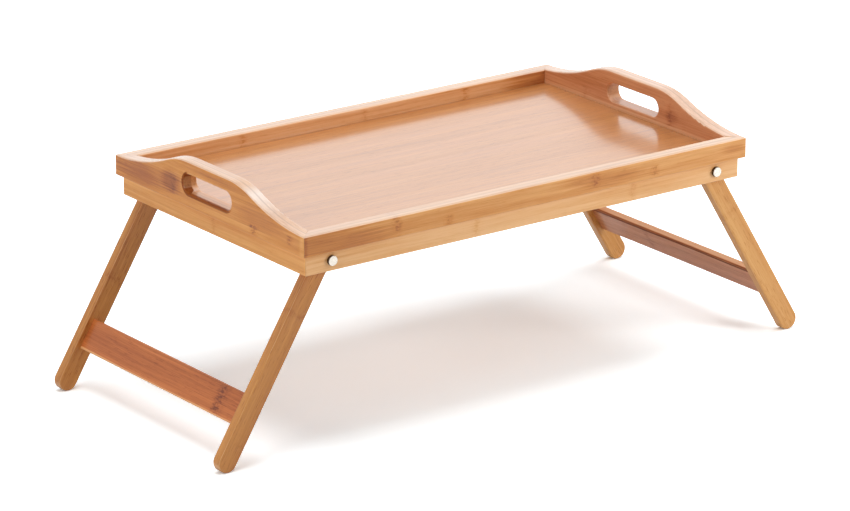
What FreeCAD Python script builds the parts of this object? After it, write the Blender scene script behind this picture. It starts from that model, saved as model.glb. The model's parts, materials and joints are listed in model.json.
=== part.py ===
import FreeCAD, Part
import math
import os
from FreeCAD import Vector

# Bed tray table: a bamboo tray on two folding leg frames.
# The origin is on the floor, below the middle of the tray. X runs along the tray's long side,
# Y from its front rail to its back rail, and Z up. All sizes are in millimetres.

# Tray frame
tray_length = 500.0             # over the outer faces of the two handle boards
tray_width = 300.0              # over the outer faces of the two long rails
underside_height = 169.0        # floor to the lower edges of the frame
board_thickness = 15.0
lower_band_height = 19.0        # lower half of every board, set back from the upper half
upper_band_height = 19.2
lower_band_recess = 5.0
top_edge_round = 2.0
lower_edge_round = 0.8
corner_round = 1.5              # upright outer corners of the frame

# Handle boards
handle_rise = 23.0              # crest of the handle above the rim
crest_length = 66.0             # level stretch along the top of the handle
crest_radius = 86.0             # convex arc beside the crest
slot_length = 76.5
slot_height = 18.3
slot_above_panel = 6.0          # lower side of the hand slot above the panel's surface
slot_edge_round = 1.4

# Tray panel
panel_drop = 13.0               # rim down to the panel's surface
panel_thickness = 3.2
tongue_step = 0.4               # the surface stands this much above the tongue
groove_depth = 5.0
groove_clearance = 0.05         # above and below the tongue
tongue_end_gap = 0.4            # tongue's edge to the bottom of the groove
panel_field_gap = 0.3           # panel's raised surface to the boards' inner faces

# Corner dowels
corner_dowel_diameter = 5.0
corner_dowel_length = 10.0
corner_dowel_inset = 5.0        # along the mitre, from its inner corner
lower_dowel_height = 9.5        # above the frame's lower edge
upper_dowel_drop = 6.2          # below the rim

# Legs and stretchers
leg_width = 19.5
leg_thickness = 10.0
leg_edge_round = 1.5
pivot_above_underside = 10.0
pivot_from_handle_board = 17.55 # pivot axis to the inner face of the handle board
stop_clearance = 0.3            # opened leg to the edge of the board that stops it
stretcher_width = 30.0
stretcher_thickness = 8.0
stretcher_edge_round = 1.5
stretcher_from_foot = 46.5      # centre of the foot's arc to the stretcher's middle
stretcher_dowel_diameter = 5.0
stretcher_dowel_spacing = 17.0
stretcher_dowel_in_leg = 7.0
stretcher_dowel_in_stretcher = 11.0

# Pivots: sleeve nut, screw and washers
sleeve_diameter = 6.0
sleeve_head_diameter = 9.4
sleeve_head_height = 3.2
sleeve_head_round = 0.6
sleeve_bore_depth = 14.0
screw_diameter = 4.0
screw_length = 12.0             # shank below the head and its washer
screw_tip_chamfer = 0.5
screw_head_diameter = 8.0
screw_head_height = 2.4
screw_head_round = 1.1
recess_span = 4.4               # cross recess in the screw's head
recess_width = 1.0
recess_depth = 1.3
spacer_diameter = 14.0          # washer between rail and leg
spacer_thickness = 0.5
screw_washer_diameter = 10.0
screw_washer_thickness = 0.8

# Fits
dowel_clearance = 0.05          # radial, for glue
dowel_end_gap = 0.5
sleeve_seat_clearance = 0.02    # radial, sleeve in the rail
pivot_clearance = 0.05          # radial, sleeve in the leg that turns on it
thread_clearance = 0.02         # radial, screw in the sleeve
washer_clearance = 0.1          # leg to the washer on either side of it

# Places worked out from the sizes
half_length = tray_length / 2
half_width = tray_width / 2
step_z = underside_height + lower_band_height
rim_z = step_z + upper_band_height
crest_z = rim_z + handle_rise
inner_x = half_length - board_thickness
inner_y = half_width - board_thickness
panel_z = rim_z - panel_drop
tongue_top_z = panel_z - tongue_step
tongue_bottom_z = panel_z - panel_thickness
slot_z = panel_z + slot_above_panel + slot_height / 2
band_face_y = half_width - lower_band_recess
pivot_x = inner_x - pivot_from_handle_board
pivot_z = underside_height + pivot_above_underside
leg_outer_y = inner_y - spacer_thickness - washer_clearance
leg_inner_y = leg_outer_y - leg_thickness
sleeve_end_y = leg_inner_y - washer_clearance
screw_seat_y = sleeve_end_y - screw_washer_thickness
foot_radius = leg_width / 2

# Modelling limits
cut_margin = 1.0                # how far cutting and trimming solids pass the faces that they cut
largest_round_share = 0.45      # an edge's rounding is at most this share of the thickness it is on
box_tolerance = 0.01            # when edges are picked by their place
shortest_edge = 1e-6


def leg_splay():
    """Angle from upright at which an opened leg lies against the rounded edge of its board."""
    across = pivot_from_handle_board + lower_edge_round
    below = pivot_above_underside - lower_edge_round
    reach = foot_radius + stop_clearance + lower_edge_round
    return math.acos(reach / math.hypot(across, below)) - math.atan2(below, across)


splay = leg_splay()
leg_length = (pivot_z - foot_radius) / math.cos(splay)      # pivot to the centre of the foot's arc
stretcher_drop = leg_length - stretcher_from_foot           # pivot to the stretcher's middle


def rounded_wire(corners, place):
    """Closed outline through corners (u, v, radius), each corner with its own tangent arc."""
    spans = []
    count = len(corners)
    for index, (u, v, radius) in enumerate(corners):
        here = Vector(u, v, 0)
        before = Vector(*corners[index - 1][:2], 0)
        after = Vector(*corners[(index + 1) % count][:2], 0)
        to_before = (before - here).normalize()
        to_after = (after - here).normalize()
        half_angle = to_before.getAngle(to_after) / 2
        setback = radius / math.tan(half_angle)
        bisector = (to_before + to_after).normalize()
        centre = here + bisector * (radius / math.sin(half_angle))
        start = here + to_before * setback
        end = here + to_after * setback
        middle = centre - bisector * radius
        spans.append((start, middle, end, radius))
    edges = []
    for index, (start, middle, end, radius) in enumerate(spans):
        if radius > 0:
            edges.append(Part.Arc(place(start), place(middle), place(end)).toShape())
        following = spans[(index + 1) % count][0]
        if (following - end).Length > shortest_edge:
            edges.append(Part.LineSegment(place(end), place(following)).toShape())
    return Part.Wire(edges)


def rounded_plate(corners, place, direction):
    """Solid made by sweeping a rounded outline along a straight direction."""
    return Part.Face(rounded_wire(corners, place)).extrude(direction)


def plan_prism(points, low_z, high_z):
    """Upright prism over a plan outline given as (x, y) points."""
    ring = [Vector(x, y, low_z) for x, y in points]
    face = Part.Face(Part.makePolygon(ring + ring[:1]))
    return face.extrude(Vector(0, 0, high_z - low_z))


def rounded_block(size_x, size_y, low_z, high_z, radius):
    """Upright block centred on the Z axis, with its four upright edges rounded."""
    x = size_x / 2
    y = size_y / 2
    corners = [(-x, -y, radius), (x, -y, radius), (x, y, radius), (-x, y, radius)]
    return rounded_plate(corners, lambda p: Vector(p.x, p.y, low_z), Vector(0, 0, high_z - low_z))


def mirrored_left(shape):
    return shape.mirror(Vector(0, 0, 0), Vector(1, 0, 0))


def mirrored_back(shape):
    return shape.mirror(Vector(0, 0, 0), Vector(0, 1, 0))


def edges_between(shape, low, high):
    """Edges of a shape that lie whole between two corners."""
    slack = Vector(box_tolerance, box_tolerance, box_tolerance)
    room = FreeCAD.BoundBox(low - slack, high + slack)
    return [edge for edge in shape.Edges if room.isInside(edge.BoundBox)]


def edge_round(radius, thickness):
    """Rounding of an edge, limited by the thickness of the piece."""
    return min(radius, largest_round_share * thickness)


def board_section(top_z, top_round):
    """Section of a frame board as (depth from the outer face, height, radius) corners."""
    return [
        (0, step_z, lower_edge_round),
        (0, top_z, top_round),
        (board_thickness, top_z, top_round),
        (board_thickness, underside_height, lower_edge_round),
        (lower_band_recess, underside_height, lower_edge_round),
        (lower_band_recess, step_z, 0),
    ]


def frame_outline():
    """Room that the frame may fill: both bands with their upright corners rounded."""
    top = crest_z + cut_margin
    upper = rounded_block(tray_length, tray_width, step_z, top, corner_round)
    lower_length = tray_length - 2 * lower_band_recess
    lower_width = tray_width - 2 * lower_band_recess
    lower = rounded_block(lower_length, lower_width, underside_height - cut_margin, step_z, corner_round)
    return upper.fuse(lower)


def panel_groove():
    """Block whose rim cuts the panel's groove into the four boards."""
    x = inner_x + groove_depth
    y = inner_y + groove_depth
    low_z = tongue_bottom_z - groove_clearance
    high_z = tongue_top_z + groove_clearance
    return Part.makeBox(2 * x, 2 * y, high_z - low_z, Vector(-x, -y, low_z))


def mitred(board, points):
    """Trims a board's ends to the mitres and its outer corners to the frame's outline."""
    mitre = plan_prism(points, underside_height - cut_margin, crest_z + cut_margin)
    return board.common(mitre).common(frame_outline()).cut(panel_groove())


def corner_dowels(grow_radius, grow_length):
    """The two dowels that cross the mitre at the front right corner."""
    axis = Vector(1, 1, 0).normalize()
    inset = corner_dowel_inset / math.sqrt(2)
    length = corner_dowel_length + 2 * grow_length
    radius = corner_dowel_diameter / 2 + grow_radius
    dowels = []
    for z in (underside_height + lower_dowel_height, rim_z - upper_dowel_drop):
        middle = Vector(inner_x + inset, -inner_y - inset, z)
        dowels.append(Part.makeCylinder(radius, length, middle - axis * (length / 2), axis))
    return Part.Compound(dowels)


def without_corner_dowels(board):
    """Board with the dowel holes of the four corners."""
    right = corner_dowels(dowel_clearance, dowel_end_gap)
    left = mirrored_left(right)
    for holes in (right, left, mirrored_back(right), mirrored_back(left)):
        board = board.cut(holes)
    return board


def front_rail():
    section = board_section(rim_z, edge_round(top_edge_round, board_thickness))
    rail = rounded_plate(
        section,
        lambda p: Vector(-half_length, p.x - half_width, p.y),
        Vector(tray_length, 0, 0),
    )
    reach = board_thickness + cut_margin
    rail = mitred(rail, [
        (-half_length, -half_width),
        (half_length, -half_width),
        (half_length - reach, -half_width + reach),
        (-half_length + reach, -half_width + reach),
    ])
    for x in (-pivot_x, pivot_x):
        radius = sleeve_diameter / 2 + sleeve_seat_clearance
        hole = Part.makeCylinder(radius, board_thickness, Vector(x, -half_width, pivot_z), Vector(0, 1, 0))
        rail = rail.cut(hole)
    return without_corner_dowels(rail)


def handle_outline(low_z):
    """Elevation of a handle board: level crest, and an S-curve down to the rim on both sides."""
    crest_y = crest_length / 2
    run = half_width - crest_y
    both_radii = (run * run + handle_rise * handle_rise) / (2 * handle_rise)
    foot_arc_radius = both_radii - crest_radius
    turn = math.asin(run / both_radii)

    def crest_point(angle, side):
        y = crest_y + crest_radius * math.sin(angle)
        return Vector(0, side * y, crest_z - crest_radius * (1 - math.cos(angle)))

    def foot_point(angle, side):
        y = half_width - foot_arc_radius * math.sin(angle)
        return Vector(0, side * y, rim_z + foot_arc_radius * (1 - math.cos(angle)))

    edges = [Part.LineSegment(crest_point(0, -1), crest_point(0, 1)).toShape()]
    for side in (1, -1):
        crest_arc = Part.Arc(crest_point(0, side), crest_point(turn / 2, side), crest_point(turn, side))
        foot_arc = Part.Arc(crest_point(turn, side), foot_point(turn / 2, side), foot_point(0, side))
        upright = Part.LineSegment(foot_point(0, side), Vector(0, side * half_width, low_z))
        edges += [crest_arc.toShape(), foot_arc.toShape(), upright.toShape()]
    edges.append(Part.LineSegment(Vector(0, -half_width, low_z), Vector(0, half_width, low_z)).toShape())
    return Part.Wire(Part.__sortEdges__(edges))


def hand_slot():
    """Stadium-shaped slot through the right handle board."""
    radius = slot_height / 2
    y = slot_length / 2
    corners = [
        (-y, slot_z - radius, radius),
        (y, slot_z - radius, radius),
        (y, slot_z + radius, radius),
        (-y, slot_z + radius, radius),
    ]
    depth = board_thickness + 2 * cut_margin
    start_x = inner_x - cut_margin
    return rounded_plate(corners, lambda p: Vector(start_x, p.x, p.y), Vector(depth, 0, 0))


def right_handle_board():
    section = board_section(crest_z + cut_margin, 0)
    blank = rounded_plate(
        section,
        lambda p: Vector(half_length - p.x, -half_width, p.y),
        Vector(0, tray_width, 0),
    )
    shape = Part.Face(handle_outline(underside_height - cut_margin))
    shape.translate(Vector(inner_x - cut_margin, 0, 0))
    board = blank.common(shape.extrude(Vector(board_thickness + 2 * cut_margin, 0, 0)))
    for x in (inner_x, half_length):
        top = edges_between(board, Vector(x, -half_width, rim_z), Vector(x, half_width, crest_z))
        board = board.makeFillet(edge_round(top_edge_round, board_thickness), top)
    board = board.cut(hand_slot())
    for x in (inner_x, half_length):
        y = slot_length / 2
        rim = edges_between(
            board,
            Vector(x, -y, slot_z - slot_height / 2),
            Vector(x, y, slot_z + slot_height / 2),
        )
        board = board.makeFillet(slot_edge_round, rim)
    reach = board_thickness + cut_margin
    board = mitred(board, [
        (half_length, -half_width),
        (half_length, half_width),
        (half_length - reach, half_width - reach),
        (half_length - reach, -half_width + reach),
    ])
    return without_corner_dowels(board)


def tray_panel():
    """Thin panel: a raised field between the boards, and a tongue in their grooves."""
    x = inner_x + groove_depth - tongue_end_gap
    y = inner_y + groove_depth - tongue_end_gap
    tongue = Part.makeBox(2 * x, 2 * y, tongue_top_z - tongue_bottom_z, Vector(-x, -y, tongue_bottom_z))
    x = inner_x - panel_field_gap
    y = inner_y - panel_field_gap
    field = Part.makeBox(2 * x, 2 * y, panel_z - tongue_bottom_z, Vector(-x, -y, tongue_bottom_z))
    return tongue.fuse(field).removeSplitter()


def placed_at_pivot(shape, side_x, side_y):
    """Moves a piece made at the front, on the axis through x = 0 and z = 0, to one of the pivots."""
    placed = shape.copy()
    if side_y > 0:
        placed = mirrored_back(placed)
    placed.translate(Vector(side_x * pivot_x, 0, pivot_z))
    return placed


def ring(outer_diameter, inner_diameter, start_y, thickness):
    """Washer around the pivot axis."""
    start = Vector(0, start_y, 0)
    axis = Vector(0, 1, 0)
    disc = Part.makeCylinder(outer_diameter / 2, thickness, start, axis)
    return disc.cut(Part.makeCylinder(inner_diameter / 2, thickness, start, axis))


def sleeve_nut():
    """Round plain head outside the rail, and a sleeve that passes through rail and leg."""
    axis = Vector(0, 1, 0)
    head_start = Vector(0, -band_face_y - sleeve_head_height, 0)
    head = Part.makeCylinder(sleeve_head_diameter / 2, sleeve_head_height, head_start, axis)
    outer_rim = edges_between(
        head,
        Vector(-sleeve_head_diameter, head_start.y, -sleeve_head_diameter),
        Vector(sleeve_head_diameter, head_start.y, sleeve_head_diameter),
    )
    head = head.makeFillet(sleeve_head_round, outer_rim)
    sleeve_length = band_face_y - sleeve_end_y
    sleeve = Part.makeCylinder(sleeve_diameter / 2, sleeve_length, Vector(0, -band_face_y, 0), axis)
    bore_start = Vector(0, -sleeve_end_y - sleeve_bore_depth, 0)
    bore = Part.makeCylinder(screw_diameter / 2 + thread_clearance, sleeve_bore_depth, bore_start, axis)
    return head.fuse(sleeve).removeSplitter().cut(bore)


def pivot_screw():
    """Pan-headed screw with a cross recess, driven into the sleeve from inside the frame."""
    axis = Vector(0, 1, 0)
    shank_length = screw_length + screw_washer_thickness
    tip = Vector(0, -screw_seat_y - shank_length, 0)
    shank = Part.makeCylinder(screw_diameter / 2, shank_length, tip, axis)
    tip_rim = edges_between(shank, tip - Vector(screw_diameter, 0, screw_diameter),
                            tip + Vector(screw_diameter, 0, screw_diameter))
    shank = shank.makeChamfer(screw_tip_chamfer, tip_rim)
    seat = Vector(0, -screw_seat_y, 0)
    head = Part.makeCylinder(screw_head_diameter / 2, screw_head_height, seat, axis)
    head_end = -screw_seat_y + screw_head_height
    head_rim = edges_between(head, Vector(-screw_head_diameter, head_end, -screw_head_diameter),
                             Vector(screw_head_diameter, head_end, screw_head_diameter))
    head = head.makeFillet(screw_head_round, head_rim)
    screw = head.fuse(shank).removeSplitter()
    for wide, tall in ((recess_span, recess_width), (recess_width, recess_span)):
        corner = Vector(-wide / 2, head_end - recess_depth, -tall / 2)
        screw = screw.cut(Part.makeBox(wide, recess_depth, tall, corner))
    return screw


def spacer_washer():
    inner = sleeve_diameter + 2 * sleeve_seat_clearance
    return ring(spacer_diameter, inner, -inner_y, spacer_thickness)


def screw_washer():
    inner = screw_diameter + 2 * thread_clearance
    return ring(screw_washer_diameter, inner, -sleeve_end_y, screw_washer_thickness)


def opened(shape, side_x):
    """Swings a piece of a leg frame, made hanging straight down from the origin, to its open place."""
    placed = shape.copy()
    placed.rotate(Vector(0, 0, 0), Vector(0, 1, 0), -side_x * math.degrees(splay))
    placed.translate(Vector(side_x * pivot_x, 0, pivot_z))
    return placed


def stretcher_dowels(grow_radius, grow_length):
    """The two dowels at the stretcher's front end, made hanging straight down from the origin."""
    radius = stretcher_dowel_diameter / 2 + grow_radius
    length = stretcher_dowel_in_leg + stretcher_dowel_in_stretcher + 2 * grow_length
    start_y = -leg_inner_y - stretcher_dowel_in_leg - grow_length
    dowels = []
    for offset in (-stretcher_dowel_spacing / 2, stretcher_dowel_spacing / 2):
        start = Vector(0, start_y, -stretcher_drop + offset)
        dowels.append(Part.makeCylinder(radius, length, start, Vector(0, 1, 0)))
    return Part.Compound(dowels)


def front_leg():
    """Flat bar with round ends, made hanging straight down from the origin."""
    corners = [
        (-foot_radius, foot_radius, foot_radius),
        (foot_radius, foot_radius, foot_radius),
        (foot_radius, -leg_length - foot_radius, foot_radius),
        (-foot_radius, -leg_length - foot_radius, foot_radius),
    ]
    leg = rounded_plate(corners, lambda p: Vector(p.x, -leg_outer_y, p.y), Vector(0, leg_thickness, 0))
    low_z = -leg_length - foot_radius
    rims = []
    for y in (-leg_outer_y, -leg_inner_y):
        rims += edges_between(leg, Vector(-foot_radius, y, low_z), Vector(foot_radius, y, foot_radius))
    leg = leg.makeFillet(edge_round(leg_edge_round, leg_thickness), rims)
    radius = sleeve_diameter / 2 + pivot_clearance
    leg = leg.cut(Part.makeCylinder(radius, leg_thickness, Vector(0, -leg_outer_y, 0), Vector(0, 1, 0)))
    return leg.cut(stretcher_dowels(dowel_clearance, dowel_end_gap))


def stretcher():
    """Flat bar between the two legs, made below the origin."""
    x = stretcher_thickness / 2
    z = stretcher_width / 2
    radius = edge_round(stretcher_edge_round, stretcher_thickness)
    corners = [(-x, -z, radius), (x, -z, radius), (x, z, radius), (-x, z, radius)]
    bar = rounded_plate(
        corners,
        lambda p: Vector(p.x, -leg_inner_y, p.y - stretcher_drop),
        Vector(0, 2 * leg_inner_y, 0),
    )
    holes = stretcher_dowels(dowel_clearance, dowel_end_gap)
    return bar.cut(holes).cut(mirrored_back(holes))


def export(shape, node):
    """Writes one node's solids to its own file."""
    solids = shape.Solids
    body = solids[0] if len(solids) == 1 else Part.Compound(solids)
    body.exportStep("parts/" + node + ".step")
    state = "valid" if body.isValid() else "INVALID"
    print(node, len(solids), "solid(s)", round(body.Volume, 1), "mm3", state)


def build():
    os.makedirs("parts", exist_ok=True)
    rail = front_rail()
    board = right_handle_board()
    dowels = corner_dowels(0, 0)
    export(rail, "front_rail")
    export(mirrored_back(rail), "back_rail")
    export(board, "right_handle_board")
    export(mirrored_left(board), "left_handle_board")
    export(tray_panel(), "tray_panel")
    export(dowels, "front_right_corner_dowels")
    export(mirrored_left(dowels), "front_left_corner_dowels")
    export(mirrored_back(dowels), "back_right_corner_dowels")
    export(mirrored_back(mirrored_left(dowels)), "back_left_corner_dowels")

    hardware = {
        "sleeve_nut": sleeve_nut(),
        "pivot_screw": pivot_screw(),
        "spacer_washer": spacer_washer(),
        "screw_washer": screw_washer(),
    }
    leg = front_leg()
    bar = stretcher()
    bar_dowels = stretcher_dowels(0, 0)
    for side, side_x in (("left", -1), ("right", 1)):
        export(opened(bar, side_x), side + "_stretcher")
        for end, side_y in (("front", -1), ("back", 1)):
            for piece, shape in hardware.items():
                export(placed_at_pivot(shape, side_x, side_y), end + "_" + side + "_" + piece)
            for piece, shape in (("leg", leg), ("stretcher_dowels", bar_dowels)):
                facing = mirrored_back(shape) if side_y > 0 else shape
                export(opened(facing, side_x), side + "_" + end + "_" + piece)
    print("splay", round(math.degrees(splay), 3), "leg", round(leg_length, 3), "pivot", pivot_x, pivot_z)


build()
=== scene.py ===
import json
import math

import bpy
from mathutils import Matrix, Vector


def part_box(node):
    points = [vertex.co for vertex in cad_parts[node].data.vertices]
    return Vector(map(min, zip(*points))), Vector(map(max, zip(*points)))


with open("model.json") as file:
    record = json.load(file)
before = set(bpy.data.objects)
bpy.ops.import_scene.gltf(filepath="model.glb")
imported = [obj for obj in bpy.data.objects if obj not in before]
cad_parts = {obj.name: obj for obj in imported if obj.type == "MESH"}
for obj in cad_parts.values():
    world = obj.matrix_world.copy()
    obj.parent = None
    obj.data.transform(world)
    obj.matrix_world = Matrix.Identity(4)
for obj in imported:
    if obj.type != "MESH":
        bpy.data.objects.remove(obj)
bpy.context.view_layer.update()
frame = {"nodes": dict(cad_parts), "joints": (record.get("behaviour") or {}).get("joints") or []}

# A bamboo bed tray table. Everything is in metres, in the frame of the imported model.
# The pieces are the model's own: this script gives them their materials, the light and the camera.

MM = 0.001
X = Vector((1, 0, 0))
Y = Vector((0, 1, 0))
Z = Vector((0, 0, 1))
SIDES = ((-1, "left"), (1, "right"))

# ---------------------------------------------------------------- sizes and places

# Read from the frame
TRAY_LOW, TRAY_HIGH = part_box("front_rail")
RIM_Z = TRAY_HIGH.z
UNDERSIDE_Z = TRAY_LOW.z
PANEL_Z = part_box("tray_panel")[1].z
BOARD = TRAY_HIGH.y - TRAY_LOW.y            # thickness of the boards
HALF_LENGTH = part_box("right_handle_board")[1].x
HALF_WIDTH = -TRAY_LOW.y
PIVOTS = {joint["name"]: Vector(joint["pos_m"]) for joint in frame["joints"]}
PIVOT = PIVOTS["right_leg_fold"]            # the left one is its mirror image

# As on the pieces, where their boxes don't show it
LOWER_BAND = 19.0 * MM                      # height of the boards' lower band, which is set back
STEP_Z = UNDERSIDE_Z + LOWER_BAND
SLOT_RADIUS = 9.15 * MM                     # of the hand slot's round ends
SLOT_STRAIGHT = 29.1 * MM                   # from the slot's middle to where a round end begins
SLOT_RISE = 6.0 * MM                        # from the panel up to the slot
SLOT_Z = PANEL_Z + SLOT_RISE + SLOT_RADIUS  # of the slot's middle
STRETCHER_WIDTH = 30.0 * MM
STRETCHER_THICKNESS = 8.0 * MM


def leg_direction(side, word):
    """Unit vector down a leg of the left (-1) or right (1) frame, from its pivot to its foot."""
    low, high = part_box(f"{word}_front_leg")
    radius = high.z - PIVOT.z
    foot_x = (high.x if side > 0 else -low.x) - radius
    return Vector((side * (foot_x - PIVOT.x), 0, low.z + radius - PIVOT.z)).normalized()


# ---------------------------------------------------------------- node tree helpers


def connect(tree, socket, value):
    """Links a socket to another node's output, or writes a plain value into it."""
    if isinstance(value, bpy.types.NodeSocket):
        tree.links.new(value, socket)
    else:
        socket.default_value = value


def opaque(colour):
    """A colour of three numbers with its alpha, or an output as it is."""
    return colour if isinstance(colour, bpy.types.NodeSocket) else (*colour, 1.0)


class Tree:
    """Writes a node tree as nested calls, where each call returns the new node's output.

    Only node() returns the node itself.
    """

    def __init__(self, tree):
        self.tree = tree

    def node(self, kind, inputs=(), **settings):
        new = self.tree.nodes.new("ShaderNode" + kind)
        for key, value in settings.items():
            setattr(new, key, value)
        for key, value in dict(inputs).items():
            connect(self.tree, new.inputs[key], value)
        return new

    def math(self, operation, a, b=None, clamp=False):
        inputs = {0: a} if b is None else {0: a, 1: b}
        return self.node("Math", inputs, operation=operation, use_clamp=clamp).outputs[0]

    def add(self, a, b):
        return self.math("ADD", a, b)

    def times(self, a, b):
        return self.math("MULTIPLY", a, b)

    def minus(self, a, b):
        return self.math("SUBTRACT", a, b)

    def size(self, value):
        return self.math("ABSOLUTE", value)

    def larger(self, a, b):
        return self.math("MAXIMUM", a, b)

    def hypotenuse(self, a, b):
        return self.math("SQRT", self.add(self.times(a, a), self.times(b, b)))

    def rise(self, value, low, high, to_low=0.0, to_high=1.0):
        """Climbs smoothly from to_low, at low, to to_high, at high."""
        inputs = {"Value": value, "From Min": low, "From Max": high, "To Min": to_low, "To Max": to_high}
        return self.node("MapRange", inputs, interpolation_type="SMOOTHSTEP").outputs[0]

    def fall(self, value, low, high):
        """Falls smoothly from 1, at low, to 0, at high."""
        return self.rise(value, low, high, 1.0, 0.0)

    def swing(self, noise, amount):
        """A noise, which runs from 0 to 1, as a swing about zero that is amount wide."""
        return self.times(self.add(noise, -0.5), amount)

    def dot(self, vector, direction):
        inputs = {0: vector, 1: tuple(direction)}
        return self.node("VectorMath", inputs, operation="DOT_PRODUCT").outputs["Value"]

    def scaled(self, vector, factor):
        return self.node("VectorMath", {0: vector, 3: factor}, operation="SCALE").outputs[0]

    def xyz(self, x, y, z):
        return self.node("CombineXYZ", {0: x, 1: y, 2: z}).outputs[0]

    def cells(self, place, per_metre):
        """A place, as (along, across, deep) in metres, counted in the cells of a texture.

        per_metre holds how many cells a metre has along the fibres, and how many the other two ways.
        """
        along, across, deep = place
        lengthwise, sideways = per_metre
        x = self.times(along, lengthwise)
        return self.xyz(x, self.times(across, sideways), self.times(deep, sideways))

    def noise(self, vector, detail=2.0, roughness=0.5):
        inputs = {"Vector": vector, "Scale": 1.0, "Detail": detail, "Roughness": roughness}
        return self.node("TexNoise", inputs).outputs[0]

    def random(self, vector):
        return self.node("TexWhiteNoise", {"Vector": vector}, noise_dimensions="3D").outputs[0]

    def mix(self, factor, a, b):
        """The first colour where the factor is 0 and the second where it is 1."""
        inputs = {0: factor, 6: opaque(a), 7: opaque(b)}
        return self.node("Mix", inputs, data_type="RGBA").outputs[2]

    def ramp(self, factor, stops):
        new = self.node("ValToRGB", {"Fac": factor})
        elements = new.color_ramp.elements
        while len(elements) < len(stops):
            elements.new(0.5)
        for element, (place, colour) in zip(elements, stops):
            element.position = place
            element.color = opaque(colour)
        return new.outputs[0]


def new_material(name):
    material = bpy.data.materials.new(name)
    material.use_nodes = True
    material.node_tree.nodes.clear()
    return material, Tree(material.node_tree)


def finish_material(t, shader):
    t.node("OutputMaterial", {"Surface": shader})


# ---------------------------------------------------------------- bamboo

# The grain's textures, in cells a metre along the fibres and across them
BEND = (7.0, 14.0)
BROAD = (5.0, 90.0)
STREAK = (9.0, 420.0)
THREAD = (26.0, 1900.0)
FLECK = (95.0, 1500.0)
KNUCKLE_BLOT = (230.0, 420.0)
WORN_PATCH = (30.0, 60.0)
END_DOT = (40.0, 1400.0)

# A knuckle's line: the cells a metre of its wobble and of its patches, and how far it wobbles
KNUCKLE_WOBBLE = 330.0
KNUCKLE_PATCH = 240.0
WOBBLE_REACH = 11.0 * MM

# How far the strips and the fibres move the lightness, which runs from 0 to 1
STRIP_SWING = 0.26
BROAD_SWING = 0.62
STREAK_SWING = 0.50
THREAD_SWING = 0.36
FLECK_DEPTH = 0.10

STRIP = 19.2 * MM                           # width of a board's strips
ONE_PLY = 1.0                               # thicker than any piece
PLY_SHIFT = 0.37                            # of a strip, from one ply to the next
STRIP_SLIDE = 0.7                           # how far along, at most, a strip's fibres are shifted
GRAIN_BEND = 3.0 * MM                       # how far the fibres wander sideways
GRAIN_RELIEF = 0.10 * MM                    # how deep they lie
LIP_DARKENING = 3.6 * MM                         # how far the darkening reaches in on the slot's lip
BACK_DARKENING = 8.5 * MM                        # and at its back end

REDDISH = (0.62, 0.27, 0.13)                # drawn over the warmer strips
GLUE = (0.20, 0.08, 0.03)                   # joint lines between strips, and mitres
BUNDLE_DARK = (0.20, 0.085, 0.035)          # fibre bundles in the end grain
BUNDLE_PALE = (0.50, 0.25, 0.11)
SANDED_AND_LIT = (0.80, 0.52, 0.29)                 # rounded edges, paler partly from sanding and partly as a painted highlight
TOP_HIGHLIGHT_DARK = (0.66, 0.485, 0.36)             # painted highlight on the boards' tops, in streaks
TOP_HIGHLIGHT_PALE = (0.78, 0.60, 0.47)
SLOPE_HIGHLIGHT = (0.98, 0.90, 0.84)             # painted highlight where the tops slope
RIM_EDGE_HIGHLIGHT = (0.90, 0.68, 0.52)               # painted highlight on the rounded edges of the rim
RIM_GLUE = (0.36, 0.24, 0.19)               # glue between the two plies of the rim


def knuckle_group():
    """Node group that draws one bamboo knuckle across a strip.

    It takes a place in the wood, and the knuckle's place, ends across the strip and length, all in
    metres. It gives how much the wood darkens there, and its relief, which is negative on the line.
    """
    group = bpy.data.node_groups.new("bamboo_knuckle", "ShaderNodeTree")
    for name in ("Along", "Across", "Depth", "Place", "Low", "High", "Length"):
        group.interface.new_socket(name, in_out="INPUT", socket_type="NodeSocketFloat")
    for name in ("Dark", "Height"):
        group.interface.new_socket(name, in_out="OUTPUT", socket_type="NodeSocketFloat")
    t = Tree(group)
    given = group.nodes.new("NodeGroupInput").outputs
    result = group.nodes.new("NodeGroupOutput").inputs
    along, across, depth, place = (given[name] for name in ("Along", "Across", "Depth", "Place"))

    # how far this place is from a ragged line, and whether it lies between the knuckle's two ends
    ragged_at = t.xyz(t.times(across, KNUCKLE_WOBBLE), t.times(depth, KNUCKLE_WOBBLE), place)
    ragged = t.noise(ragged_at, detail=3.0, roughness=0.6)
    away = t.add(t.minus(along, place), t.swing(ragged, WOBBLE_REACH))
    distance = t.size(away)
    soft_end = t.add(1.5 * MM, t.times(ragged, 4.0 * MM))
    above = t.rise(t.minus(across, given["Low"]), 0.0, soft_end)
    below = t.rise(t.minus(given["High"], across), 0.0, soft_end)
    inside = t.times(above, below)

    # the line itself, broken into patches
    patch_at = t.xyz(t.times(across, KNUCKLE_PATCH), t.times(depth, KNUCKLE_PATCH), t.add(place, 7.0))
    patch = t.rise(t.noise(patch_at, detail=2.0), 0.42, 0.62)
    line = t.times(t.fall(distance, 0.2 * MM, 1.5 * MM), patch)

    # the blots around it, stronger on one side
    fade = t.fall(t.math("DIVIDE", distance, given["Length"]), 0.05, 1.0)
    blot_noise = t.noise(t.cells((along, across, depth), KNUCKLE_BLOT), detail=3.0, roughness=0.6)
    blots = t.rise(blot_noise, 0.42, 0.62)
    smear = t.times(fade, t.add(t.times(blots, 0.80), 0.20))
    one_side = t.rise(away, -3.0 * MM, 3.0 * MM, 0.35, 1.0)

    dark = t.larger(t.times(line, 0.65), t.times(smear, one_side))
    connect(group, result["Dark"], t.times(dark, inside))
    connect(group, result["Height"], t.times(t.times(line, inside), -1.0))
    return group


KNUCKLE = knuckle_group()


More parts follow.
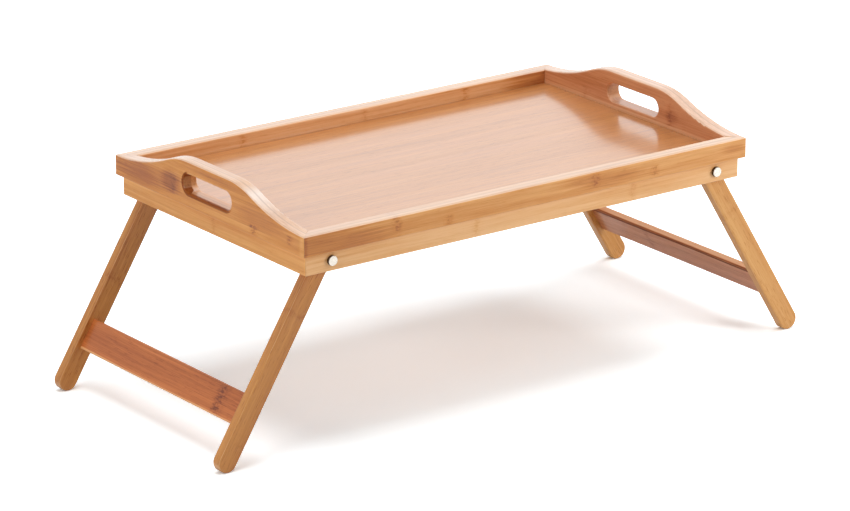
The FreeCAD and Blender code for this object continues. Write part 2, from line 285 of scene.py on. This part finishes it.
class Wood:
    """A material of lacquered bamboo, built up step by step.

    u runs along the fibres, v across the strips and w through the plies, all in metres. level is the
    lightness before it becomes a colour, height the relief, gloss the weight of the lacquer, and
    unburnt is 0 where the hand slot's wall is darkened and 1 elsewhere.
    """

    def __init__(self, name, along, across, gloss):
        self.material, t = new_material(name)
        self.t = t
        self.across = across
        self.gloss = gloss
        self.undarkened = 1.0
        coordinates = t.node("TexCoord").outputs
        self.place = coordinates["Object"]
        self.normal = coordinates["Normal"]
        axes = (along, across, along.cross(across))
        self.u, self.v, self.w = (t.dot(self.place, axis) for axis in axes)
        self.facing_u, self.facing_v, self.facing_w = (t.size(t.dot(self.normal, axis)) for axis in axes)

    def lay_strips(self, strip, strip_start, ply, ply_start, seed):
        """Finds the strip and the ply of each place, and draws a tone and a warmth for each strip."""
        t = self.t
        self.strip = strip
        layer = t.math("FLOOR", t.math("DIVIDE", t.add(self.w, -ply_start), ply))
        self.row = t.add(t.math("DIVIDE", t.add(self.v, -strip_start), strip), t.times(layer, PLY_SHIFT))
        row_number = t.math("FLOOR", self.row)
        self.strip_tone = t.random(t.xyz(row_number, layer, seed))
        self.warmth = t.random(t.xyz(layer, seed, row_number))

    def grow_fibres(self, tone, contrast, strip_contrast, flecks, banding, seed):
        """Sets the level and the relief from the fibres, from broad bands to single threads."""
        t = self.t
        shifted = t.add(self.u, t.times(self.strip_tone, STRIP_SLIDE))
        lengthwise, sideways = BEND
        bend_at = t.xyz(t.times(shifted, lengthwise), t.times(self.v, sideways), seed)
        self.v_bent = t.add(self.v, t.swing(t.noise(bend_at, detail=2.0), GRAIN_BEND))
        fibre = (shifted, self.v_bent, self.w)
        self.broad = t.noise(t.cells(fibre, BROAD), detail=3.0)
        self.streak = t.noise(t.cells(fibre, STREAK), detail=4.0, roughness=0.6)
        thread = t.noise(t.cells(fibre, THREAD), detail=3.0, roughness=0.65)
        fleck = t.rise(t.noise(t.cells(fibre, FLECK), detail=1.0), 0.6, 0.74)

        level = t.add(tone, t.swing(self.strip_tone, STRIP_SWING * strip_contrast))
        level = t.add(level, t.swing(self.broad, BROAD_SWING * contrast * banding))
        level = t.add(level, t.swing(self.streak, STREAK_SWING * contrast))
        level = t.add(level, t.swing(thread, THREAD_SWING * contrast))
        self.level = t.add(level, t.times(fleck, -FLECK_DEPTH * flecks))
        self.height = t.swing(thread, 0.5)

    def lighten(self, share, strength):
        """Raises the level by the strength where the share is 1. A negative strength lowers it."""
        self.level = self.t.add(self.level, self.t.times(share, strength))

    def add_band(self, low, high, strength):
        """Lightens the stretch from low to high across the fibres."""
        t = self.t
        blur = 0.5 * MM
        ragged_v = t.add(self.v_bent, t.swing(self.broad, 2.0 * MM))
        above = t.rise(ragged_v, low - blur, low + blur)
        below = t.fall(ragged_v, high - blur, high + blur)
        self.lighten(t.times(above, below), strength)

    def add_knuckle(self, place, low, high, length, strength):
        """Darkens and dents a knuckle's line, and darkens the blots around it."""
        t = self.t
        inputs = {"Along": self.u, "Across": self.v, "Depth": self.w}
        inputs.update({"Place": place, "Low": low, "High": high, "Length": length})
        knuckle = t.node("Group", inputs, node_tree=KNUCKLE).outputs
        self.lighten(knuckle["Dark"], -strength)
        self.height = t.add(self.height, t.times(knuckle["Height"], 1.6))

    def add_soft_patch(self, patch_u, patch_v, length, width, strength):
        """Darkens a soft oval with a streaky edge, and lightens it where the strength is negative."""
        t = self.t
        du = t.math("DIVIDE", t.add(self.u, -patch_u), length)
        dv = t.math("DIVIDE", t.add(self.v, -patch_v), width)
        radius = t.add(t.hypotenuse(du, dv), t.swing(self.streak, 0.9))
        self.lighten(t.fall(radius, 0.25, 1.1), -strength)

    def darken_slot(self, strength):
        """Darkens the outer part of the hand slot's wall, along its lower lip and at its back end, and
        dulls its lacquer there.
        """
        t = self.t
        beyond = t.larger(t.add(t.size(self.u), -SLOT_STRAIGHT), 0.0)
        above = t.add(self.v, -SLOT_Z)
        radius = t.hypotenuse(beyond, above)
        wall = t.rise(radius, SLOT_RADIUS - 0.6 * MM, SLOT_RADIUS - 0.2 * MM)
        wall = t.times(wall, t.fall(radius, SLOT_RADIUS + 2.0 * MM, SLOT_RADIUS + 2.8 * MM))
        back_end = t.rise(self.u, SLOT_STRAIGHT, SLOT_STRAIGHT + 5 * MM)
        lip = t.rise(t.minus(t.times(self.u, 0.15), above), -2 * MM, 6 * MM)
        inward = t.minus(HALF_LENGTH, t.size(self.w))
        limit = t.add(LIP_DARKENING, t.times(back_end, BACK_DARKENING - LIP_DARKENING))
        shallow = t.fall(t.minus(inward, limit), -0.7 * MM, 0.7 * MM)
        mottled = t.add(0.6, t.times(self.broad, 0.8))
        darkened = t.times(t.times(wall, t.larger(lip, back_end)), t.times(shallow, mottled))
        self.lighten(darkened, -strength)
        self.undarkened = t.math("SUBTRACT", 1.0, darkened, clamp=True)
        self.gloss = t.times(self.gloss, self.undarkened)

    def paint_edge_shade(self, shade_v, shade_w, radius, strength):
        """A painted line of shade along the fibres, without lacquer."""
        t = self.t
        from_line = t.hypotenuse(t.add(self.v_bent, -shade_v), t.add(self.w, -shade_w))
        shade_line = t.fall(from_line, 0.55 * radius, 1.1 * radius)
        self.lighten(shade_line, -strength)
        self.gloss = t.times(self.gloss, t.minus(1.0, shade_line))

    def colour_by(self, palette):
        t = self.t
        colour = t.ramp(self.level, palette)
        warm = t.times(t.rise(self.warmth, 0.4, 1.0), 0.25)
        self.colour = t.mix(warm, colour, t.mix(0.5, colour, REDDISH))

    def draw_joints(self, mitred):
        """Thin dark lines where strips meet, fainter on the mitred boards, and along their mitres."""
        t = self.t
        from_middle = t.size(t.add(t.math("FRACT", self.row), -0.5))
        from_edge = t.add(t.times(from_middle, -self.strip), 0.5 * self.strip)
        joint = t.fall(from_edge, 0.04 * MM, 0.22 * MM)
        if mitred:
            corner_x = t.add(t.size(t.dot(self.place, X)), -HALF_LENGTH)
            corner_y = t.add(t.size(t.dot(self.place, Y)), -HALF_WIDTH)
            mitre = t.size(t.minus(corner_x, corner_y))
            joint = t.larger(t.times(joint, 0.3), t.fall(mitre, 0.06 * MM, 0.3 * MM))
        self.colour = t.mix(t.times(joint, 0.35), self.colour, GLUE)
        self.height = t.add(self.height, t.times(joint, -1.2))

    def cut_ends(self):
        """Shows the fibre bundles as dots where the wood is cut across."""
        t = self.t
        dots_at = t.cells((self.u, self.v, self.w), END_DOT)
        dots = t.node("TexVoronoi", {"Vector": dots_at, "Scale": 1.0}).outputs["Distance"]
        bundles = t.mix(t.rise(dots, 0.15, 0.42), BUNDLE_DARK, BUNDLE_PALE)
        end = t.rise(self.facing_u, 0.72, 0.95)
        self.colour = t.mix(t.times(end, 0.65), self.colour, bundles)

    def sand_and_highlight_edges(self, wear_and_highlight):
        """Makes the rounded edges paler and duller, in patches, partly from sanding and partly as a
        painted highlight.
        """
        t = self.t
        straightest = t.larger(t.larger(self.facing_u, self.facing_v), self.facing_w)
        self.edge = t.rise(t.minus(1.0, straightest), 0.10, 0.28)
        patch_noise = t.noise(t.cells((self.u, self.v, self.w), WORN_PATCH), detail=3.0)
        patchy = t.add(0.25, t.times(t.rise(patch_noise, 0.35, 0.7), 0.5))
        self.worn_and_lit = t.times(t.times(self.edge, patchy), self.undarkened)
        # paler edges, partly from sanding and partly a painted highlight
        self.colour = t.mix(t.times(self.worn_and_lit, wear_and_highlight), self.colour, SANDED_AND_LIT)

    def paint_top_highlight(self, glue_w, slope_pale):
        """Paints a highlight on a board's top and makes it glossy, with a painted highlight on the rim's
        edges and a glue line along its middle.

        The hand slot's floor faces up as well, and gets half of the painted highlight.
        """
        t = self.t
        upward = t.dot(self.normal, self.across)
        at_top = t.rise(self.v, RIM_Z - 4 * MM, RIM_Z - 2 * MM)
        # painted highlight on faces that turn up: full on the top, half on the slot's floor
        lit_top = t.times(t.rise(upward, 0.50, 0.95), t.add(0.5, t.times(at_top, 0.5)))
        lit_top = t.times(lit_top, self.undarkened)
        pale = t.mix(t.rise(self.streak, 0.35, 0.65), TOP_HIGHLIGHT_DARK, TOP_HIGHLIGHT_PALE)
        slope = t.times(t.rise(self.facing_u, 0.15, 0.45), slope_pale)
        cover = t.times(lit_top, t.add(0.60, t.times(slope, 0.30)))
        colour = t.mix(cover, self.colour, t.mix(slope, pale, SLOPE_HIGHLIGHT))
        # painted highlight on the rim's rounded edges
        lit_rim_edge = t.times(t.times(self.edge, at_top), t.rise(upward, 0.15, 0.55))
        colour = t.mix(t.times(lit_rim_edge, 0.55), colour, RIM_EDGE_HIGHLIGHT)
        from_glue = t.add(t.add(self.w, -glue_w), t.swing(self.broad, 1.2 * MM))
        glue_line = t.fall(t.size(from_glue), 0.2 * MM, 1.3 * MM)
        self.colour = t.mix(t.times(t.times(glue_line, lit_top), 0.38), colour, RIM_GLUE)
        self.gloss = t.add(self.gloss, t.times(lit_top, t.minus(1.0, self.gloss)))

    def lacquer(self, specular, gloss_roughness):
        """Makes the shader of wood under a clear coat, and returns the finished material."""
        t = self.t
        rough = t.add(0.40, t.swing(self.streak, 0.25))
        rough = t.math("ADD", rough, t.times(self.worn_and_lit, 0.12), clamp=True)
        relief = {"Distance": GRAIN_RELIEF, "Height": self.height}
        shader = t.node("BsdfPrincipled", {
            "Base Color": self.colour,
            "Roughness": rough,
            "Specular IOR Level": specular,
            "Normal": t.node("Bump", {"Strength": 0.35, **relief}).outputs[0],
            "Coat Weight": self.gloss,
            "Coat Roughness": gloss_roughness,
            "Coat Normal": t.node("Bump", {"Strength": 0.08, **relief}).outputs[0],
        })
        finish_material(t, shader.outputs[0])
        return self.material


def bamboo(name, along, across, palette, strip=STRIP, strip_start=0.0, ply=ONE_PLY, ply_start=0.0,
           tone=0.5, contrast=1.0, strip_contrast=1.0, flecks=1.0, banding=1.0, marks=(), stains_and_painted_light=(),
           bands=(), slot_darkening=0.0, edge_shade=None, wear_and_highlight=0.5, mitred=False, slope_pale=0.0, specular=0.05,
           gloss=0.6, gloss_roughness=0.22, seed=0.0):
    """Lacquered bamboo, made of strips that run along one direction and lie side by side across it.

    tone is the general lightness, from 0 to 1. All places and lengths are in metres.
    flecks is how strong the short dark fibre marks are, and banding how strong the broad bands.
    marks holds (place along, low, high, length, strength) for each knuckle.
    stains holds (place along, place across, length, width, strength) for each soft patch, which is dark
    where the strength is positive and pale where it is negative: marks in the wood, painted shade and
    painted highlights.
    bands holds (low, high, strength) for each stretch across the grain that is paler.
    burn is how dark the hand slot's lower lip and back end are made.
    rind holds (place across, place in depth, radius, strength) of a painted line of shade along one edge.
    wear is how pale the rounded edges are made, partly from sanding and partly as a painted highlight.
    slope_pale is how much paler the painted highlight on a mitred board's top is where it slopes.
    """
    wood = Wood(name, along, across, gloss)
    wood.lay_strips(strip, strip_start, ply, ply_start, seed)
    wood.grow_fibres(tone, contrast, strip_contrast, flecks, banding, seed)
    for band in bands:
        wood.add_band(*band)
    for mark in marks:
        wood.add_knuckle(*mark)
    for soft_patch in stains_and_painted_light:
        wood.add_soft_patch(*soft_patch)
    if slot_darkening:
        wood.darken_slot(slot_darkening)
    if edge_shade:
        wood.paint_edge_shade(*edge_shade)
    wood.colour_by(palette)
    wood.draw_joints(mitred)
    wood.cut_ends()
    wood.sand_and_highlight_edges(wear_and_highlight)
    # painted highlight on the mitred boards' tops and rim edges
    if mitred:
        wood.paint_top_highlight(ply_start, slope_pale)
    return wood.lacquer(specular, gloss_roughness)


# ---------------------------------------------------------------- metal and nylon


def metal(name, colour, roughness, scratches, painted_side_reflection):
    """Plated steel with faint turning marks and haze, and a painted reflection of another colour on the
    walls around its axis.
    """
    material, t = new_material(name)
    coordinates = t.node("TexCoord").outputs
    place = coordinates["Object"]
    haze = t.noise(t.scaled(place, 420.0), detail=4.0)
    turned = t.node("Mapping", {"Vector": place, "Scale": (9000.0, 300.0, 9000.0)}).outputs[0]
    lines = t.noise(turned, detail=2.0)
    hazy = [0.9 * channel for channel in colour]
    facing = t.rise(t.size(t.dot(coordinates["Normal"], Y)), 0.35, 0.75)
    tone = t.mix(facing, painted_side_reflection, t.mix(t.times(haze, 0.4), colour, hazy))
    rough = t.add(roughness, t.times(t.add(haze, -0.4), 0.12))
    bump = t.node("Bump", {"Strength": scratches, "Distance": 0.02 * MM, "Height": lines})
    shader = t.node("BsdfPrincipled", {
        "Base Color": tone,
        "Metallic": 1.0,
        "Roughness": rough,
        "Normal": bump.outputs[0],
    })
    finish_material(t, shader.outputs[0])
    return material


def nylon(name):
    """Natural nylon of the spacer washers."""
    material, t = new_material(name)
    cloud = t.noise(t.scaled(t.node("TexCoord").outputs["Object"], 700.0), detail=3.0)
    bump = t.node("Bump", {"Strength": 0.2, "Distance": 0.03 * MM, "Height": cloud})
    shader = t.node("BsdfPrincipled", {
        "Base Color": t.mix(cloud, (0.80, 0.77, 0.68), (0.70, 0.66, 0.56)),
        "Roughness": t.add(0.42, t.times(cloud, 0.12)),
        "Normal": bump.outputs[0],
    })
    finish_material(t, shader.outputs[0])
    return material


# ---------------------------------------------------------------- the pieces' materials

# Each palette goes from level 0 to level 1
HONEY = [
    (0.0, (0.20, 0.050, 0.012)),
    (0.25, (0.42, 0.130, 0.030)),
    (0.5, (0.62, 0.250, 0.060)),
    (0.75, (0.77, 0.390, 0.135)),
    (1.0, (0.88, 0.520, 0.240)),
]
RED = [
    (0.0, (0.16, 0.030, 0.008)),
    (0.25, (0.36, 0.085, 0.018)),
    (0.5, (0.56, 0.160, 0.038)),
    (0.75, (0.70, 0.260, 0.080)),
    (1.0, (0.80, 0.400, 0.160)),
]
ROSE = [
    (0.0, (0.17, 0.042, 0.020)),
    (0.25, (0.36, 0.112, 0.044)),
    (0.5, (0.55, 0.205, 0.083)),
    (0.75, (0.69, 0.310, 0.145)),
    (1.0, (0.79, 0.450, 0.240)),
]
PANEL = [
    (0.0, (0.17, 0.050, 0.012)),
    (0.25, (0.32, 0.115, 0.028)),
    (0.5, (0.48, 0.195, 0.056)),
    (0.75, (0.61, 0.280, 0.094)),
    (1.0, (0.71, 0.375, 0.150)),
]

# Heights of a board's two bands, and a knuckle that runs across the whole piece
UPPER = (STEP_Z, RIM_Z)
LOWER = (UNDERSIDE_Z, STEP_Z)
ALL_ACROSS = (-1.0, 1.0)
UNDER_LOWER = UNDERSIDE_Z - 1 * MM          # a band that starts here reaches the underside unblurred

ONE_STRIP = dict(strip=1.0, strip_start=-0.5, strip_contrast=0.0)     # a strip wider than the piece


def tinted(palette, red, green, blue):
    """The palette with each of its three channels multiplied."""
    return [(place, (r * red, g * green, b * blue)) for place, (r, g, b) in palette]


def assign(node, material):
    mesh = frame["nodes"][node].data
    mesh.materials.clear()
    mesh.materials.append(material)


def board_strips(outer):
    """The strips and the two plies of a board, for the coordinate of its outer face."""
    middle = outer - math.copysign(BOARD / 2, outer)
    return dict(strip_start=STEP_Z, mitred=True, ply=0.6 * BOARD, ply_start=middle)


def dress_rails():
    front = bamboo(
        "front_rail_bamboo", X, Z, HONEY, tone=0.64, contrast=1.15, strip_contrast=0.0, wear_and_highlight=0.8,
        seed=3.0,
        marks=[
            (-151.0 * MM, STEP_Z + 4 * MM, RIM_Z + 4 * MM, 8 * MM, 0.40),
            (-94.5 * MM, STEP_Z - 1 * MM, STEP_Z + 11 * MM, 8 * MM, 0.32),
            (70.4 * MM, STEP_Z + 3 * MM, RIM_Z, 9 * MM, 0.34),
            (139.3 * MM, STEP_Z + 1 * MM, STEP_Z + 14 * MM, 8 * MM, 0.36),
            (-59.7 * MM, *LOWER, 6 * MM, 0.30),
            (118.8 * MM, *LOWER, 7 * MM, 0.26),
        ],
        stains_and_painted_light=[
            (-220 * MM, STEP_Z + 8 * MM, 90 * MM, 22 * MM, 0.26),
            (85 * MM, STEP_Z + 13 * MM, 60 * MM, 12 * MM, 0.26),
            # painted shade on the rounded corner at the left end
            (-249 * MM, STEP_Z + 2 * MM, 4 * MM, 50 * MM, 0.16),
            (235 * MM, STEP_Z + 11 * MM, 20 * MM, 5 * MM, 0.20),
        ],
        bands=[(UNDER_LOWER, STEP_Z, 0.28)],
        **board_strips(HALF_WIDTH))
    assign("front_rail", front)
    back = bamboo(
        "back_rail_bamboo", X, Z, tinted(HONEY, 1.0, 1.02, 1.32), tone=0.73, strip_contrast=0.5, wear_and_highlight=0.8,
        seed=8.0,
        marks=[
            (-120 * MM, *UPPER, 8 * MM, 0.28),
            (137 * MM, *UPPER, 9 * MM, 0.32),
            (20 * MM, *UPPER, 6 * MM, 0.18),
            (-60 * MM, *LOWER, 7 * MM, 0.25),
            (120 * MM, *LOWER, 7 * MM, 0.25),
        ],
        stains_and_painted_light=[(225 * MM, STEP_Z + 12 * MM, 45 * MM, 30 * MM, 0.36)],
        **board_strips(-HALF_WIDTH))
    assign("back_rail", back)


def dress_handle_boards():
    left = bamboo(
        "left_board_bamboo", Y, Z, tinted(HONEY, 1.06, 1.0, 0.76), tone=0.54, strip_contrast=0.3,
        wear_and_highlight=0.8, slope_pale=1.0, slot_darkening=0.48, seed=5.0,
        marks=[
            (52.0 * MM, STEP_Z + 4 * MM, RIM_Z + 6 * MM, 11 * MM, 0.20),
            (-73.6 * MM, STEP_Z, STEP_Z + 12 * MM, 10 * MM, 0.62),
            (-128.5 * MM, STEP_Z + 5 * MM, STEP_Z + 17 * MM, 7 * MM, 0.44),
            (-3.2 * MM, *LOWER, 5 * MM, 0.18),
        ],
        stains_and_painted_light=[
            (58 * MM, STEP_Z + 17 * MM, 20 * MM, 13 * MM, 0.34),
            (110 * MM, STEP_Z + 12 * MM, 55 * MM, 16 * MM, 0.20),
            (-85 * MM, STEP_Z + 17 * MM, 60 * MM, 14 * MM, 0.16),
            # painted highlight on the rounded front corner
            (-147 * MM, STEP_Z, 5 * MM, 60 * MM, -0.14),
        ],
        bands=[(UNDER_LOWER, STEP_Z, 0.12)],
        **board_strips(-HALF_LENGTH))
    assign("left_handle_board", left)
    right = bamboo(
        "right_board_bamboo", Y, Z, ROSE, tone=0.60, strip_contrast=0.3, wear_and_highlight=0.8, slope_pale=0.2,
        seed=6.0,
        marks=[
            (-57 * MM, STEP_Z + 8 * MM, RIM_Z + 14 * MM, 8 * MM, 0.26),
            (70 * MM, *UPPER, 8 * MM, 0.18),
        ],
        stains_and_painted_light=[
            (-59 * MM, STEP_Z + 18 * MM, 12 * MM, 10 * MM, 0.16),
            (50 * MM, STEP_Z + 27 * MM, 60 * MM, 9 * MM, 0.10),
        ],
        # painted light bounced off the panel, in a band just above it
        bands=[(PANEL_Z - 2 * MM, PANEL_Z + 3.6 * MM, 0.20)],
        **board_strips(HALF_LENGTH))
    assign("right_handle_board", right)


def dress_panel():
    panel = bamboo(
        "panel_bamboo", X, Y, PANEL, strip=20 * MM, strip_start=-HALF_WIDTH + 9 * MM, tone=0.53,
        contrast=1.1, strip_contrast=0.3, flecks=2.5, banding=0.5, specular=0.5, gloss=1.0,
        gloss_roughness=0.15, seed=2.0,
        # painted shade along the back edge, by the back rail
        stains_and_painted_light=[(90 * MM, HALF_WIDTH - 17 * MM, 200 * MM, 12 * MM, 0.15)])
    assign("tray_panel", panel)


def dress_legs():
    tones = {"left_front": 0.40, "left_back": 0.38, "right_front": 0.58, "right_back": 0.52}
    knuckles = {"front": 55 * MM, "back": 95 * MM}      # how far down from the pivot
    olive = tinted(HONEY, 1.0, 1.12, 1.15)
    for side, word in SIDES:
        down = leg_direction(side, word)
        over = down.cross(Y)
        pivot = PIVOT.x * side * down.x + PIVOT.z * down.z
        for number, end in enumerate(("front", "back")):
            leg = bamboo(
                f"{word}_{end}_leg_bamboo", down, over, olive, tone=tones[f"{word}_{end}"], contrast=0.6,
                flecks=2.2, wear_and_highlight=0.7, marks=[(pivot + knuckles[end], *ALL_ACROSS, 7 * MM, 0.14)],
                seed=11.0 + 2 * number + side, **ONE_STRIP)
            assign(f"{word}_{end}_leg", leg)
        dress_stretcher(side, word, down)


def dress_stretcher(side, word, down):
    """The left one is red with a pale lower edge; the right one is rose, with a painted highlight on its
    upper edge and a painted line of shade along its upper inner edge.
    """
    box_low, box_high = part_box(word + "_stretcher")
    centre = (box_low + box_high) / 2
    middle = down.dot(centre)
    upper_edge = middle - STRETCHER_WIDTH / 2
    lower_edge = middle + STRETCHER_WIDTH / 2
    edge_shade = None
    if side < 0:
        bands = [(lower_edge - 1.7 * MM, lower_edge + 2 * MM, 0.50)]
        marks = [(-93 * MM, upper_edge, lower_edge, 13 * MM, 0.55)]
        palette, tone = RED, 0.42
    else:
        # painted highlight on the upper edge, which faces up
        bands = [(upper_edge - 2 * MM, upper_edge + 1 * MM, 0.46)]
        inner_face = Y.cross(down).dot(centre) + STRETCHER_THICKNESS / 2
        # a painted line of shade along the upper inner edge
        edge_shade = (upper_edge, inner_face, 2.6 * MM, 0.75)
        marks = [(40 * MM, upper_edge, lower_edge, 9 * MM, 0.22)]
        palette, tone = ROSE, 0.50
    stretcher = bamboo(
        word + "_stretcher_bamboo", Y, down, palette, tone=tone, flecks=1.8, marks=marks, bands=bands,
        edge_shade=edge_shade, seed=21.0 + side, **ONE_STRIP)
    assign(word + "_stretcher", stretcher)


def dress_hardware():
    # the dark colours on the heads' walls are painted reflections
    nickel = metal("nickel_plate", (0.77, 0.69, 0.60), roughness=0.26, scratches=0.15,
                   painted_side_reflection=(0.12, 0.09, 0.06))
    zinc = metal("zinc_plate", (0.72, 0.73, 0.75), roughness=0.28, scratches=0.3,
                 painted_side_reflection=(0.45, 0.45, 0.46))
    washer = nylon("spacer_nylon")
    dowel = bamboo("dowel_beech", Y, Z, HONEY, tone=0.8, gloss=0.0, seed=30.0)
    finishes = {
        "sleeve_nut": nickel,
        "pivot_screw": zinc,
        "screw_washer": zinc,
        "spacer_washer": washer,
        "dowels": dowel,
    }
    for node in frame["nodes"]:
        for ending, material in finishes.items():
            if node.endswith(ending):
                assign(node, material)


dress_rails()
dress_handle_boards()
dress_panel()
dress_legs()
dress_hardware()

# ---------------------------------------------------------------- floor, light and camera

WHITE = (1.0, 1.0, 1.0, 1.0)
FLOOR_REACH = 12.0                          # half the floor's side
FLOOR_AS_LIGHT = (0.80, 0.80, 0.80, 1.0)    # the paper that the light bounces off
FLOOR_AS_SEEN = (0.745, 0.81, 0.84, 1.0)    # half of what the camera sees
GLOW_START = 0.7                            # distance from the middle where the floor begins to glow
GLOW_FULL = 1.8                             # and where its glow is full
GLOW_STRENGTH = 0.9
FLOOR_MIRRORED = 0.35                       # share of the seen floor in reflections
WORLD_AS_LIGHT = 0.35                       # strength of the surroundings, which are seen at 1


def make_floor():
    """Pale floor: the camera sees it white, dimmed only where the object keeps the light off."""
    mesh = bpy.data.meshes.new("floor")
    corners = [(x * FLOOR_REACH, y * FLOOR_REACH, 0) for x, y in ((-1, -1), (1, -1), (1, 1), (-1, 1))]
    mesh.from_pydata(corners, [], [(0, 1, 2, 3)])
    floor = bpy.data.objects.new("floor", mesh)
    bpy.context.scene.collection.objects.link(floor)
    material, t = new_material("floor_paper")
    place = t.node("TexCoord").outputs["Object"]
    radius = t.node("VectorMath", {0: place}, operation="LENGTH").outputs["Value"]
    glow_strength = t.rise(radius, GLOW_START, GLOW_FULL, 0.0, GLOW_STRENGTH)
    paper = t.node("BsdfDiffuse", {"Color": FLOOR_AS_LIGHT})
    bright = t.node("BsdfDiffuse", {"Color": FLOOR_AS_SEEN})
    doubled = t.node("AddShader", {0: bright.outputs[0], 1: bright.outputs[0]})
    glow = t.node("Emission", {"Color": WHITE, "Strength": glow_strength})
    seen = t.node("AddShader", {0: doubled.outputs[0], 1: glow.outputs[0]})
    path = t.node("LightPath").outputs
    mirrored = t.times(t.larger(path["Is Glossy Ray"], path["Is Transmission Ray"]), FLOOR_MIRRORED)
    share = t.larger(path["Is Camera Ray"], mirrored)
    both = t.node("MixShader", {0: share, 1: paper.outputs[0], 2: seen.outputs[0]})
    finish_material(t, both.outputs[0])
    mesh.materials.append(material)


def make_world():
    """Even white surroundings: white to the camera and in reflections, softer as light."""
    world = bpy.data.worlds.new("studio")
    bpy.context.scene.world = world
    world.use_nodes = True
    world.node_tree.nodes.clear()
    t = Tree(world.node_tree)
    path = t.node("LightPath").outputs
    seen = t.larger(t.larger(path["Is Camera Ray"], path["Is Glossy Ray"]), path["Is Transmission Ray"])
    strength = t.add(WORLD_AS_LIGHT, t.times(seen, 1.0 - WORLD_AS_LIGHT))
    background = t.node("Background", {"Color": WHITE, "Strength": strength})
    t.node("OutputWorld", {"Surface": background.outputs[0]})


def area_lamp(name, place, target, size, power, mirrored_in_gloss=False):
    lamp = bpy.data.lights.new(name, "AREA")
    lamp.shape = "RECTANGLE"
    lamp.size, lamp.size_y = size
    lamp.energy = power
    holder = bpy.data.objects.new(name, lamp)
    bpy.context.scene.collection.objects.link(holder)
    holder.location = place
    holder.rotation_euler = (Vector(target) - Vector(place)).to_track_quat("-Z", "Y").to_euler()
    holder.visible_camera = False
    holder.visible_glossy = mirrored_in_gloss


def make_lamps():
    area_lamp("overhead", place=(0.3, 0.12, 2.2), target=(0.3, 0.12, 0), size=(2.3, 1.5), power=32.0)
    area_lamp("backdrop_glow", place=(1.6, 2.15, 1.05), target=(0, 0, 0.19), size=(3.0, 1.8), power=6.5,
              mirrored_in_gloss=True)
    area_lamp("right_key", place=(0.95, -1.2, 0.7), target=(0.15, 0, 0.12), size=(0.6, 0.6), power=9.0)
    area_lamp("left_fill", place=(-2.2, -0.4, 0.9), target=(0, 0, 0.1), size=(1.2, 1.2), power=14.0)


# The photograph's view, solved from the corners of the tray, the pivots and the feet
CAMERA_PLACE = Vector((-2.5226, -3.3958, 1.5228))
CAMERA_YAW = math.radians(-36.515)          # about Z, from +Y
CAMERA_PITCH = math.radians(18.581)         # downwards
CAMERA_ROLL = math.radians(0.133)
FOCAL_PIXELS = 4821.6
PHOTO_WIDTH = 850
SENSOR_WIDTH = 36.0


def make_camera():
    forward = Vector((
        -math.sin(CAMERA_YAW) * math.cos(CAMERA_PITCH),
        math.cos(CAMERA_YAW) * math.cos(CAMERA_PITCH),
        -math.sin(CAMERA_PITCH),
    ))
    level = Vector((math.cos(CAMERA_YAW), math.sin(CAMERA_YAW), 0))
    upright = level.cross(forward)
    right = level * math.cos(CAMERA_ROLL) + upright * math.sin(CAMERA_ROLL)
    up = upright * math.cos(CAMERA_ROLL) - level * math.sin(CAMERA_ROLL)
    data = bpy.data.cameras.new("camera")
    data.sensor_fit = "HORIZONTAL"
    data.sensor_width = SENSOR_WIDTH
    data.lens = FOCAL_PIXELS / PHOTO_WIDTH * SENSOR_WIDTH
    data.clip_end = 100.0
    camera = bpy.data.objects.new("camera", data)
    bpy.context.scene.collection.objects.link(camera)
    axes = Matrix((right, up, -forward)).transposed()
    camera.matrix_world = Matrix.Translation(CAMERA_PLACE) @ axes.to_4x4()
    bpy.context.scene.camera = camera


make_floor()
make_world()
make_lamps()
make_camera()

view = bpy.context.scene.view_settings
view.view_transform = "Standard"
